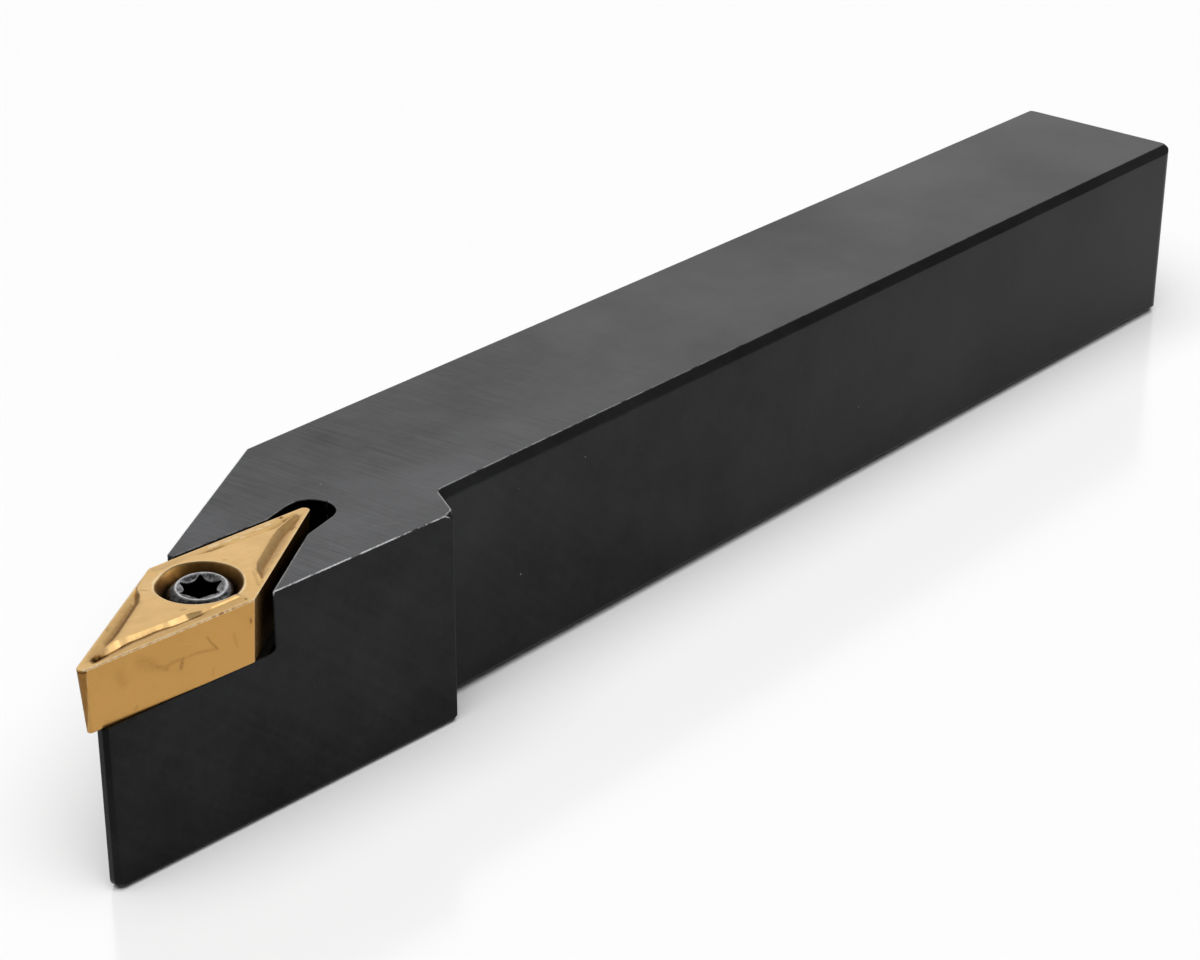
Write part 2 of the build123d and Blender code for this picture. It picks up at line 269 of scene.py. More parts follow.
# Its worn six-lobe recess: each lobe has a small turn of its own, and the floor, the lip and
# the lip's middle are the outline at a scale
SIXTH = math.radians(60)
LOBES_ACROSS = 3.42
WAIST_ACROSS = 2.42
LOBE_RADIUS = 0.12
LOBE_TURNS = [math.radians(a) for a in (8, 12, 5, 3, 2, 0)]
LOBE_STEPS = 9
RECESS_DEPTH = 1.9
RECESS_FLOOR_RISE = 0.3
RECESS_SHIFT = Vector((-0.05, 0.06))
FLOOR_SCALE = 0.9
LIP_SCALE = 1.028
LIP_MIDDLE_SCALE = 1.02
# The recess's wall from its lip down: scale of the outline, drop
RECESS_WALL = [
    (1.01, 0.02),
    (1.0, 0.05),
    (0.998, 0.12),
    (0.99, RECESS_DEPTH - RECESS_FLOOR_RISE),
    (FLOOR_SCALE, RECESS_DEPTH),
]

# Its crown: the edge, the sink round the recess, the roughness, and how it leans and sits aside
CROWN_EDGE = 0.07
SINK_RADIUS = 1.72
SINK_DEPTH = 0.2
SINK_RUN = 0.5
CROWN_ROUGHNESS = 0.012
CROWN_GRAIN = 3.5
CROWN_FADE = 0.12
CROWN_ROWS = 24
CROWN_PITCH = (0.08, 0.07)
LEAN_DEPTH = 1.0
CROWN_LEAN = math.tan(math.radians(3.0))
CROWN_STRETCH = (0.06, 0.015)
CROWN_ASIDE = 0.16

# Its shoulder and neck, and the steps of its mesh
SHOULDER_STEPS = 14
SHOULDER_BULGE = 0.11
SHOULDER_TOP = 0.05
HEAD_BREAK = 0.02
NECK_RUNOUT = 0.3
ROOT_STEP = 0.06
SCREW_STEPS = 144
THREAD_ROWS = 12

# Where the screw gets its painted highlights and its painted shade
CROWN_RIM_DEPTH = 0.06
CROWN_RIM_INSET = 0.04
CROWN_RIM_WIDTH = 0.07
SHOULDER_SHADE = 1.2
RECESS_SHADE = 0.09
LIP_WIDTH = 0.06

# Where the holder's looks change, in metres, each from and to: first along it
HEAD_FADE = (-0.042, 0.01)
# Where the edges' wear and painted highlight fade along the holder
WEAR_AND_HIGHLIGHT_FADE = (-0.03, 0.015)
NOSE_END = (-0.067, -0.06)
SHANK_START = (-0.0425, -0.0415)
REST_END = (-0.055, -0.0545)
CHAMFER_FADE = (-0.035, 0.045)
SHANK_FADE = (-0.02, 0.076)
# Then across it
NEAR_EDGE = (-0.0067, -0.0055)
NEAR_HALF = (0.002, -0.009)
# Then up
CHAMFER_FOOT = (0.0186, 0.0189)
TOP_LEVEL = (0.0175, 0.0185)
# Heights over which the side's painted shade darkens it towards its foot
SIDE_SHADE_FALL = (0.016, 0.0)
BASE_EDGE = (0.0008, 0.0016)
# How far a face turns up, or away from the near side
TOP_FACING = (0.9, 0.97)
SIDE_FACING = (-0.97, -0.9)
CHAMFER_FACING = (0.3, 0.6)
# Edges with wear and a painted highlight: their radius, and how far the rounded normal keeps to the
# flat one there
EDGE_ROUNDING_RADIUS = 0.0002
EDGE_BEND = (0.9995, 0.96)

# Colours of the holder: its sides, darkened as painted shade, its top, lightened as painted light, and
# its bare edges and painted highlights
SHADED_SIDE_STEEL = (0.0125, 0.0127, 0.0133, 1)
LIT_TOP_STEEL = (0.06, 0.0605, 0.063, 1)
BARE_STEEL_AND_HIGHLIGHT = (0.6, 0.6, 0.61, 1)
# Colours of the coating: flank, the top colour darkened as painted shade, top, clouds, brushed grain,
# wear and painted highlight, and its two stains, which also carry painted shade
GOLD_FLANK_SHADE = (0.48, 0.26, 0.075, 1)
GOLD_TOP = (0.685, 0.437, 0.168, 1)
GOLD_CLOUD = (0.4, 0.215, 0.062, 1)
GOLD_GRAIN = (0.9, 0.68, 0.36, 1)
GOLD_RUB_AND_HIGHLIGHT = (0.95, 0.8, 0.55, 1)
BROWN_STAIN_AND_SHADE = (0.235, 0.115, 0.03, 1)
BLACK_STAIN_AND_SHADE = (0.008, 0.004, 0.002, 1)
FULL_BROWN = 0.6
# Colours of the screw
SCREW_DARK = (0.06, 0.06, 0.064, 1)
SCREW_LIGHT = (0.3, 0.3, 0.31, 1)
SCREW_SHADE_BLACK = (0.0015, 0.0015, 0.0015, 1)
SCREW_RUB_AND_HIGHLIGHT = (0.72, 0.72, 0.73, 1)

# Floor, studio light and camera
FLOOR_SIZE = 6.0
FLOOR_DROP = 0.0001
FLOOR_COLOUR = (0.86, 0.86, 0.86, 1)
FLOOR_GLOSS = 0.09
FLOOR_ROUGHNESS = 0.16
BACK_LIGHT = 0.36
FRONT_LIGHT = 0.13
FRONT_TO_BACK = (-0.2, 0.5)
BACK_BOX = (0.668, 0.572, 0.476)
BACK_BOX_EDGE = (0.72, 0.93)
BACK_BOX_LIGHT = 0.76
SIDE_BOX = (0.592, -0.622, 0.511)
SIDE_BOX_EDGE = (0.89, 0.97)
SIDE_BOX_LIGHT = 2.3
HORIZON = (0.02, 0.26)
HORIZON_LIGHT = 0.25
SUN_LIGHT = 3.7
SUN_ANGLE = math.radians(75)
SUN_WAY = (0.25, 0.2, -1)
CAMERA_PLACE = (-0.184509, -0.150284, 0.118638)
CAMERA_TURN = (64.2546, -0.25847, -49.25329)
CAMERA_LENS = 84.762
CAMERA_SENSOR = 36
CAMERA_CLIP = (0.01, 50)


def clamp(value):
    """A value kept from 0 to 1."""
    return min(1.0, max(0.0, value))


def smooth(value):
    """A soft step from 0 to 1."""
    value = clamp(value)
    return value * value * (3 - 2 * value)


def toward(angle):
    """The plan direction at an angle."""
    return Vector((math.cos(angle), math.sin(angle)))


def station_at(stations, distance):
    """The groove's values at one distance along its edge."""
    if distance <= stations[0][0] or distance >= stations[-1][0]:
        return None
    for before, after in zip(stations, stations[1:]):
        if distance <= after[0]:
            share = (distance - before[0]) / (after[0] - before[0])
            return [a + (b - a) * share for a, b in zip(before[1:], after[1:])]
    return None


def groove_height(stations, distance, inward):
    """Height of the groove's surface at one point, or None where it leaves the face alone."""
    found = station_at(stations, distance)
    if found is None:
        return None
    fall, foot, low, top = found
    if inward >= top:
        return None
    if inward <= LAND:
        return 0.0
    if inward <= fall:
        return LAND_RISE * (inward - LAND) / (fall - LAND)
    if inward <= foot:
        share = (inward - fall) / (foot - fall)
        return LAND_RISE + (low - LAND_RISE) * share**FLOOR_CURVE
    return low + (FIELD_RISE - low) * (inward - foot) / (top - foot)


def field_share(point, end, fade):
    """How fully a point of the upper face lies in the raised field of one sharp corner."""
    away = point - SHARP
    if point.y < 0:
        return 1 - smooth((away.dot(FRONT) - end) / fade)
    skew = FIELD_SIDE_SKEW * (away.dot(SIDE_IN) - FIELD_SIDE_PIVOT)
    past = away.dot(SIDE) - FIELD_SIDE_END - skew
    return clamp(1 - past / FIELD_SLOPE_RUN)


def on_wall(away):
    """Whether a point lies on the near groove's wall, from its place past the sharp corner."""
    found = station_at(FRONT_GROOVE, away.dot(FRONT))
    return found is not None and found[1] < away.dot(FRONT_IN) < found[3]


def half_height(point):
    """Height of everything shaped from one sharp corner, at a point in the insert's frame."""
    away = point - SHARP
    front_along, front_in = away.dot(FRONT), away.dot(FRONT_IN)
    side_along, side_in = away.dot(SIDE), away.dot(SIDE_IN)
    height = FIELD_RISE
    if front_along < FIELD_TIP_REACH and side_along < FIELD_TIP_REACH:
        past = min(front_along, side_along) - FIELD_TIP_START
        height = FIELD_RISE * smooth(past / FIELD_TIP_RUN)
    height = min(height, max(0.0, (min(front_in, side_in) - LAND) * FIELD_EDGE_SLOPE))
    for stations, along, inward in (
        (FRONT_GROOVE, front_along, front_in),
        (SIDE_GROOVE, side_along, side_in),
    ):
        found = groove_height(stations, along, inward)
        if found is not None:
            height = min(height, found)
    return height


def lumps_near(away):
    """How much of each small lump, with its rise, a place past the rear sharp corner has."""
    along, inward = away.dot(FRONT), away.dot(FRONT_IN)
    found = []
    for distance, width, size, rise in LUMPS:
        gap = math.hypot((along - distance) * LUMP_ALONG, (inward - width) * LUMP_ACROSS) / size
        if gap < 1:
            found.append(((1 - gap * gap) ** 2, rise))
    return found


def face_height(point):
    """Height of the insert's upper face over its cutting edges."""
    front_share = field_share(point, FIELD_FRONT_END, FIELD_FRONT_FADE)
    rear_share = field_share(-point, FIELD_REAR_END, FIELD_REAR_FADE)
    field = FIELD_RISE * max(front_share, rear_share)
    height = min(half_height(point), half_height(-point), field)
    for share, rise in lumps_near(-point - SHARP):
        height += rise * share
    return height


def segment_gap(point, start, end):
    """Distance from a plan point to a segment."""
    line = Vector(end) - Vector(start)
    away = point - Vector(start)
    share = clamp(away.dot(line) / line.dot(line))
    return (away - line * share).length


def mark_strength(point, marks):
    """How dark the marks make one point."""
    dark = 0.0
    for start, end, width, strength in marks:
        gap = segment_gap(point, start, end) / width
        if gap < 3:
            dark = max(dark, strength * math.exp(-gap * gap))
    return dark


def flank_stain_and_shade(point, along, back, fine):
    """Stains of the near flank, and painted shade on its end past the obtuse corner, which lies in the
    pocket's shade.
    """
    # Painted shade where the flank's end lies in the pocket's shade
    if back.dot(SIDE_IN) < REAR_FLANK_BAND and point.x > REAR_FLANK_START:
        return 0.25 + 0.75 * smooth(point.x / REAR_FLANK_RUN)
    return mark_strength(Vector((along, point.z)), FLANK_MARKS) * (1.1 + 1.1 * fine)


def face_stain_and_shade(point, away, back, fine):
    """Stains and painted shade of the upper face: its marks, the dirt and painted shade at the feet of
    its grooves, and the darker far land.
    """
    stain_and_shade = mark_strength(Vector((point.x, point.y)), FACE_MARKS)
    for start, front_share, side_share in (
        (away, 1.0, 1.0),
        (back, REAR_FRONT_DIRT_AND_SHADE, REAR_SIDE_DIRT_AND_SHADE),
    ):
        front = Vector((start.dot(FRONT), start.dot(FRONT_IN)))
        side = Vector((start.dot(SIDE), start.dot(SIDE_IN)))
        front_dirt_and_shade = front_share * mark_strength(front, FRONT_DIRT_AND_SHADE)
        side_dirt_and_shade = side_share * mark_strength(side, SIDE_DIRT_AND_SHADE)
        stain_and_shade = max(stain_and_shade, max(front_dirt_and_shade, side_dirt_and_shade) * (1 + 0.3 * fine))
    in_band = REAR_LAND_BAND[0] < back.dot(SIDE_IN) < REAR_LAND_BAND[1]
    if in_band and REAR_LAND_RUN[0] < back.dot(SIDE) < REAR_LAND_RUN[1]:
        stain_and_shade = max(stain_and_shade, 0.2 + 0.1 * noise.noise(point * 1.3))
    return stain_and_shade


def lump_highlight(back):
    """Painted highlight on the small lumps' tops."""
    rub_and_highlight = 0.0
    for share, _ in lumps_near(back):
        rub_and_highlight = max(rub_and_highlight, 0.5 * smooth((share - 0.3) / 0.4))
    return rub_and_highlight


def edge_nick(along):
    """How dark the nicks make the near cutting edge."""
    nick = 0.0
    for first, last, strength in EDGE_NICKS:
        inside = min(along - first, last - along)
        nick = max(nick, strength * smooth(inside / NICK_SOFTNESS + 0.5))
    return nick


def insert_marks_and_painted_light(point):
    """Stains with painted shade, and wear with painted highlight, of the insert at one point of its
    surface, each from 0 to 1.
    """
    plan = Vector((point.x, point.y))
    away, back = plan - SHARP, -plan - SHARP
    along, inward = away.dot(FRONT), away.dot(FRONT_IN)
    edge = min(inward, away.dot(SIDE_IN), back.dot(FRONT_IN), back.dot(SIDE_IN))
    grain = noise.noise(point * 2.1)
    fine = noise.noise(point * 9.0)
    stain_and_shade, rub_and_highlight = 0.0, 0.0

    # Flank or upper face
    on_flank = point.z < -EDGE_DEPTH and inward < FLANK_MARGIN - point.z * RELIEF
    if on_flank:
        stain_and_shade = flank_stain_and_shade(point, along, back, fine)
    elif point.z > -FACE_DEPTH:
        stain_and_shade = face_stain_and_shade(point, away, back, fine)
        # Painted highlight on the lumps' tops
        rub_and_highlight = lump_highlight(back)

    # Near cutting edge, bright with wear and dark at its nicks; then wear and a painted highlight
    # along the whole rim, and a painted highlight on the near groove's wall
    at_edge = -EDGE_DEPTH < point.z < CUTTING_EDGE_TOP and inward < CUTTING_EDGE_BAND
    if at_edge and along > CUTTING_EDGE_START:
        nick = edge_nick(along)
        rub_and_highlight = 0.8 * smooth(0.7 + 1.1 * noise.noise(point * 3.7) + 0.5 * grain) * (1 - nick)
        stain_and_shade = max(stain_and_shade, nick)
    if point.z > -EDGE_DEPTH and edge < RIM_BAND:
        rub_and_highlight = max(rub_and_highlight, 0.35 + 0.5 * fine)
    if on_wall(away) and not on_flank:
        rub_and_highlight = max(rub_and_highlight, 0.12)

    # Screw seat: painted shade, darker with its depth, and a painted highlight along its mouth's edge
    if plan.length < RIM_RADIUS + MOUTH_ROUNDING + MOUTH_FLARE + SEAT_MARGIN:
        depth = face_height(plan) - point.z
        stain_and_shade = 0.52 * smooth(depth / 0.12) + 0.1 * grain + 0.46 * smooth((depth - 0.1) / 1.1)
        rub_and_highlight = max(rub_and_highlight, 0.55) if depth < SEAT_EDGE else 0.0

    # Painted shade on the nose under the sharp corner, with a painted highlight line where the nose
    # ends, and a band of painted shade just under the tip
    before_end = NOSE_RUN + NOSE_MARGIN - along
    if point.z < -NOSE_DEPTH and before_end > 0:
        stain_and_shade = max(stain_and_shade, 0.5 + 0.1 * grain) * smooth(before_end / 0.12)
        rub_and_highlight = max(rub_and_highlight, 0.2 * smooth(1 - abs(along - NOSE_RUN - 0.06) / 0.07))
    if away.length < NOSE_REACH and -NOSE_SHADE_DEPTH < point.z < -NOSE_DEPTH:
        stain_and_shade = max(stain_and_shade, 0.95 * smooth((point.z + NOSE_SHADE_DEPTH) / 0.2))
    return clamp(stain_and_shade), clamp(rub_and_highlight)


def rounded_rhomb(inset, radius):
    """Outline points of the insert's rhomb, anticlockwise from the sharp corner."""
    share = 1 - 2 * inset / INSCRIBED_CIRCLE
    tips = ((-HALF_LONG, 0), (0, -HALF_SHORT), (HALF_LONG, 0), (0, HALF_SHORT))
    corners = [Vector(tip) * share for tip in tips]
    points = []
    for i, corner in enumerate(corners):
        following = corners[(i + 1) % 4]
        before = (corners[i - 1] - corner).normalized()
        after = (following - corner).normalized()
        half = before.angle(after) / 2
        run = radius / math.tan(half)
        middle = corner + (before + after).normalized() * (radius / math.sin(half))
        start, end = corner + before * run, corner + after * run
        first = math.atan2(start.y - middle.y, start.x - middle.x)
        sweep = math.pi - 2 * half
        for k in range(ARC_STEPS + 1):
            angle = first + sweep * k / ARC_STEPS
            points.append(middle + toward(angle) * radius)
        beyond = (corners[(i + 2) % 4] - following).normalized()
        next_half = (-after).angle(beyond) / 2
        next_start = following - after * (radius / math.tan(next_half))
        for k in range(1, SIDE_STEPS):
            points.append(end.lerp(next_start, k / SIDE_STEPS))
    return points


def fine_line(line, step):
    """The same polyline with points at most a step apart."""
    points = [line[0]]
    for a, b in zip(line, line[1:]):
        count = max(1, math.ceil((b - a).length / step))
        points += [a.lerp(b, k / count) for k in range(1, count + 1)]
    return points


def groove_lines(stations, direction, inward):
    """The creases of one groove as plan polylines: its fall, foot, top and land."""
    lines = []
    for column in (1, 2, 4):
        lines.append([SHARP + direction * s[0] + inward * s[column] for s in stations])
    first, last = stations[0][0], stations[-1][0]
    lines.append([SHARP + direction * d + inward * LAND for d in (first, last)])
    return lines


def in_loop(loop, p):
    """Whether a point in plan lies inside a closed loop."""
    hit = False
    for k in range(len(loop)):
        a, b = loop[k], loop[(k + 1) % len(loop)]
        if (a.y > p.y) != (b.y > p.y):
            if p.x < a.x + (p.y - a.y) / (b.y - a.y) * (b.x - a.x):
                hit = not hit
    return hit


def loop_edges(*counts):
    """Edges of closed loops whose points are numbered one loop after another."""
    edges = []
    for count in counts:
        first = len(edges)
        edges += [(first + k, first + (k + 1) % count) for k in range(count)]
    return edges


def circle(radius, steps):
    """Plan points of a circle."""
    turn = 2 * math.pi / steps
    return [toward(k * turn) * radius for k in range(steps)]


def rim_points():
    """The mouth of the screw seat, wider where the face stands higher."""
    points = []
    for outward in circle(1.0, RIM_STEPS):
        share = face_height(outward * (RIM_RADIUS + MOUTH_ROUNDING)) / FIELD_RISE
        points.append(outward * (RIM_RADIUS + MOUTH_ROUNDING + MOUTH_FLARE * max(0.0, share)))
    return points


class Build:
    """Points and faces of a mesh, gathered in millimetres."""

    def __init__(self):
        self.verts = []
        self.faces = []

    def ring(self, points, heights):
        """Adds a closed ring of points and gives their numbers."""
        start = len(self.verts)
        for k, p in enumerate(points):
            height = heights[k] if isinstance(heights, list) else heights
            self.verts.append((p.x, p.y, height))
        return list(range(start, start + len(points)))

    def join(self, rings, flip=False):
        """Faces between each ring and the next, which has as many points."""
        for upper, lower in zip(rings, rings[1:]):
            for k in range(len(upper)):
                n = (k + 1) % len(upper)
                quad = (upper[k], lower[k], lower[n], upper[n])
                self.faces.append(quad[::-1] if flip else quad)

    def sheet(self, plan, edges, height, outer, hole=None):
        """A triangulated sheet over plan points, inside one loop and outside another."""
        found = delaunay_2d_cdt(plan, edges, [], 0, PLAN_TOLERANCE)
        points = found[0]
        used = {}
        for tri in found[2]:
            centre = (points[tri[0]] + points[tri[1]] + points[tri[2]]) / 3
            if not in_loop(outer, centre) or (hole and in_loop(hole, centre)):
                continue
            face = []
            for index in tri:
                if index not in used:
                    used[index] = len(self.verts)
                    p = points[index]
                    self.verts.append((p.x, p.y, height(p)))
                face.append(used[index])
            self.faces.append(face)


def face_plan(outer, rim):
    """Plan points and crease edges of the upper face, with an even spread of points between."""
    collar = [p * (1 + COLLAR_WIDTH / p.length) for p in rim]
    plan = outer + rim + collar
    edges = loop_edges(len(outer), RIM_STEPS, RIM_STEPS)
    lines = groove_lines(FRONT_GROOVE, FRONT, FRONT_IN) + groove_lines(SIDE_GROOVE, SIDE, SIDE_IN)
    for line in lines:
        for sign in (1, -1):
            chain = [p * sign for p in fine_line(line, FACE_PITCH)]
            edges += [(len(plan) + k, len(plan) + k + 1) for k in range(len(chain) - 1)]
            plan = plan + chain
    rows, columns = int(HALF_SHORT / FACE_PITCH), int(HALF_LONG / FACE_PITCH)
    for row in range(-rows, rows + 1):
        for column in range(-columns, columns + 1):
            point = Vector(((column + 0.5 * (row % 2)) * FACE_PITCH, row * FACE_PITCH))
            in_rhomb = abs(point.x) / HALF_LONG + abs(point.y) / HALF_SHORT < FACE_SHARE
            if in_rhomb and point.length > RIM_RADIUS:
                plan.append(point)
    return plan, edges


def add_flanks(build, outlines, base_outline):
    """The rounded cutting edge, the leaning flanks and the base edge."""
    rings = [build.ring(points, ring[2]) for points, ring in zip(outlines, EDGE_RINGS)]
    upper, lower = -EDGE_DROP, BASE_BREAK - THICKNESS
    for k in range(1, FLANK_ROWS + 1):
        height = upper + (lower - upper) * k / FLANK_ROWS
        radius = TOP_CORNER + (TOP_CORNER - BASE_CORNER) * height / THICKNESS
        rings.append(build.ring(rounded_rhomb(-height * RELIEF, radius), height))
    rings.append(build.ring(base_outline, -THICKNESS))
    build.join(rings)


def mouth_rings(build, rim):
    """Rings of the mouth's rounding, from the face down to the cone."""
    foot_radius, foot_height = RIM_RADIUS - MOUTH_FOOT, -MOUTH_FOOT / CONE_SLOPE
    rings = []
    for k in range(MOUTH_STEPS + 1):
        share = k / MOUTH_STEPS
        points, heights = [], []
        for p in rim:
            top = face_height(p)
            bend = 2 * share * (1 - share)
            start, end = (1 - share) ** 2, share**2
            bent_radius, bent_height = p.length - MOUTH_ROUNDING, top - MOUTH_SHOULDER
            radius = p.length * start + bent_radius * bend + foot_radius * end
            points.append(p.normalized() * radius)
            heights.append(top * start + bent_height * bend + foot_height * end)
        rings.append(build.ring(points, heights))
    return rings


def add_seat(build, rim, bore_mouth):
    """The screw's seat: the flared mouth, the cone and the bore."""
    rings = mouth_rings(build, rim)
    cone_depth = (RIM_RADIUS - BORE_RADIUS) / CONE_SLOPE
    for k in range(1, CONE_STEPS + 1):
        height = -CONE_START - (cone_depth - CONE_START) * k / CONE_STEPS
        rings.append(build.ring(circle(RIM_RADIUS + height * CONE_SLOPE, RIM_STEPS), height))
    rings.append(build.ring(circle(BORE_RADIUS, RIM_STEPS), BORE_BREAK - THICKNESS))
    rings.append(build.ring(bore_mouth, -THICKNESS))
    build.join(rings, flip=True)


def insert_mesh():
    """The insert in its own frame, with its cutting edges at height 0."""
    build = Build()
    outlines = [rounded_rhomb(inset, radius) for inset, radius, _ in EDGE_RINGS]
    outer = outlines[0]
    rim = rim_points()
    plan, edges = face_plan(outer, rim)
    build.sheet(plan, edges, face_height, outer, rim)

    base_outline = rounded_rhomb(THICKNESS * RELIEF + EDGE_INSET, BASE_CORNER - CORNER_BREAK)
    add_flanks(build, outlines, base_outline)
    bore_mouth = circle(BORE_RADIUS + BORE_BREAK, RIM_STEPS)
    add_seat(build, rim, bore_mouth)

    edges = loop_edges(len(base_outline), RIM_STEPS)
    build.sheet(base_outline + bore_mouth, edges, lambda p: -THICKNESS, base_outline, bore_mouth)
    return build


def ground_back(point):
    """A point of the insert after its far-left edge is ground back towards the obtuse corner."""
    away = Vector((point.x, point.y)) - SHARP
    along = clamp(away.dot(SIDE) / EDGE_LENGTH)
    share = along * (1 - smooth(away.dot(SIDE_IN) / GROUND_BAND))
    return point + Vector((FRONT.x, FRONT.y, 0.0)) * (GROUND_BACK * share)


def is_stray(face):
    """Whether a face is a sliver hanging outside the closed surface."""
    counts = [len(edge.link_faces) for edge in face.edges]
    return min(counts) == 1 and max(counts) > 2


def close_mesh(mesh):
    """Joins the sheets and rings of a mesh into one closed surface."""
    work = bmesh.new()
    work.from_mesh(mesh)
    bmesh.ops.remove_doubles(work, verts=work.verts, dist=SAME_POINT)
    bmesh.ops.dissolve_degenerate(work, edges=work.edges, dist=SAME_POINT)
    for _ in range(STRAY_PASSES):
        stray = [face for face in work.faces if is_stray(face)]
        bmesh.ops.delete(work, geom=stray, context="FACES")
    open_edges = [edge for edge in work.edges if edge.is_boundary]
    bmesh.ops.holes_fill(work, edges=open_edges, sides=HOLE_SIDES)
    bmesh.ops.recalc_face_normals(work, faces=work.faces)
    work.to_mesh(mesh)
    work.free()


def new_piece(name, build, place, material, marks, reshape):
    """A mesh object set in its place, with its stains and painted shade, and its wear and painted
    highlights, kept on its points.
    """
    mesh = bpy.data.meshes.new(name)
    mesh.from_pydata([Vector(v) * MM for v in build.verts], [], build.faces)
    close_mesh(mesh)
    for polygon in mesh.polygons:
        polygon.use_smooth = True
    mesh.set_sharp_from_angle(angle=SHARP_ANGLE)
    stain_and_shade = mesh.attributes.new("stain_and_shade", "FLOAT", "POINT")
    rub_and_highlight = mesh.attributes.new("rub_and_highlight", "FLOAT", "POINT")
    for k, vertex in enumerate(mesh.vertices):
        stain_and_shade.data[k].value, rub_and_highlight.data[k].value = marks(vertex.co / MM)
        vertex.co = reshape(vertex.co / MM) * MM
    mesh.transform(place)
    mesh.materials.append(material)
    piece = bpy.data.objects.new(name, mesh)
    bpy.context.scene.collection.objects.link(piece)
    return piece


def recess_outline():
    """The six-lobe outline, anticlockwise, each lobe turned by its own wear."""
    centre = LOBES_ACROSS / 2 - LOBE_RADIUS
    slant = math.cos(SIXTH / 2)
    half_waist = WAIST_ACROSS / 2
    above = LOBE_RADIUS**2 - centre**2 - half_waist**2 + 2 * centre * half_waist * slant
    below = 2 * (half_waist - centre * slant - LOBE_RADIUS)
    hollow = above / below
    share = LOBE_RADIUS / (LOBE_RADIUS + hollow)
    middle = Vector((centre, 0))
    hollow_middle = toward(SIXTH / 2) * (half_waist + hollow)
    end = middle + (hollow_middle - middle) * share
    last = math.atan2(end.y, end.x - centre)
    to_end = end - hollow_middle
    turned = math.atan2(to_end.y, to_end.x) % (2 * math.pi)
    mirror = 2 * (SIXTH / 2 + math.pi) - turned
    points = []
    for k in range(6):
        own, following = LOBE_TURNS[k], LOBE_TURNS[(k + 1) % 6]
        spin = Matrix.Rotation(SIXTH * k + own, 2)
        for i in range(LOBE_STEPS):
            angle = -last + 2 * last * i / (LOBE_STEPS - 1)
            points.append(spin @ (middle + toward(angle) * LOBE_RADIUS))
        for i in range(1, LOBE_STEPS - 1):
            angle = turned + (mirror - turned) * i / (LOBE_STEPS - 1)
            between = own + (following - own) * i / (LOBE_STEPS - 1)
            waist = hollow_middle + toward(angle) * hollow
            points.append(Matrix.Rotation(SIXTH * k + between, 2) @ waist)
    return points


def thread_radius(height, turn, top):
    """The threaded shank's radius at one height and one share of a turn."""
    phase = (height / THREAD_PITCH - turn) % 1.0
    wave = 1 - abs(2 * phase - 1)
    tooth = clamp((wave - THREAD_FLAT) / THREAD_FLANK)
    over_tip = height + SCREW_LENGTH
    fade = min(1.0, (top - height) / THREAD_RUNOUT, over_tip / THREAD_START + 0.05)
    radius = ROOT_RADIUS + (CREST_RADIUS - ROOT_RADIUS) * tooth * max(0.0, fade)
    return min(radius, CREST_RADIUS - TIP_CHAMFER + height + SCREW_LENGTH)


def head_profile(thread_top):
    """Radius and height of each ring from the crown's edge down to the thread."""
    side_gap = SEAT_GAP / math.cos(CONE_ANGLE)
    head_edge = CROWN_DROP - (RIM_RADIUS - HEAD_RADIUS - side_gap) / CONE_SLOPE
    neck_edge = CROWN_DROP - (RIM_RADIUS - NECK_RADIUS - side_gap) / CONE_SLOPE
    profile = [
        (CROWN_RADIUS - CROWN_EDGE, 0.0),
        (CROWN_RADIUS - 0.02, -0.012),
        (CROWN_RADIUS, -SHOULDER_TOP),
    ]
    for k in range(1, SHOULDER_STEPS + 1):
        share = k / SHOULDER_STEPS
        bulge = SHOULDER_BULGE * math.sin(math.pi * share)
        radius = CROWN_RADIUS + (HEAD_RADIUS - CROWN_RADIUS) * share + bulge
        height = -SHOULDER_TOP + (head_edge + SHOULDER_TOP) * share + bulge
        profile.append((min(radius, HEAD_RADIUS), height))
    profile += [
        (HEAD_RADIUS - HEAD_BREAK, head_edge - SHOULDER_TOP),
        (NECK_RADIUS, neck_edge),
        (NECK_RADIUS, thread_top + NECK_RUNOUT),
        (ROOT_RADIUS + ROOT_STEP, thread_top),
    ]
    return profile


def add_shank(build):
    """The screw's outside below its crown: shoulder, cone, neck, thread and tip."""
    thread_top = THREAD_LENGTH - SCREW_LENGTH
    profile = head_profile(thread_top)
    rings = [build.ring(circle(radius, SCREW_STEPS), height) for radius, height in profile]
    rows = int(THREAD_LENGTH / THREAD_PITCH * THREAD_ROWS)
    for row in range(1, rows + 1):
        height = thread_top - THREAD_LENGTH * row / rows
        points = circle(1.0, SCREW_STEPS)
        for k in range(SCREW_STEPS):
            points[k] = points[k] * thread_radius(height, k / SCREW_STEPS, thread_top)
        rings.append(build.ring(points, height))
    build.join(rings)
    tip = circle(thread_radius(-SCREW_LENGTH, 0, thread_top), SCREW_STEPS)
    build.sheet(tip, loop_edges(SCREW_STEPS), lambda p: -SCREW_LENGTH, tip)


def sink_height(p):
    """Height of the crown's face at a place measured from the recess's middle."""
    return -SINK_DEPTH * clamp((SINK_RADIUS - p.length) / SINK_RUN)


def crown_height(p):
    """Height of the crown's slightly rough face."""
    inside = CROWN_RADIUS - CROWN_EDGE - p.length
    rough = CROWN_ROUGHNESS * noise.noise(Vector((p.x * CROWN_GRAIN, p.y * CROWN_GRAIN, 0.3)))
    return sink_height(p - RECESS_SHIFT) + rough * smooth(inside / CROWN_FADE)


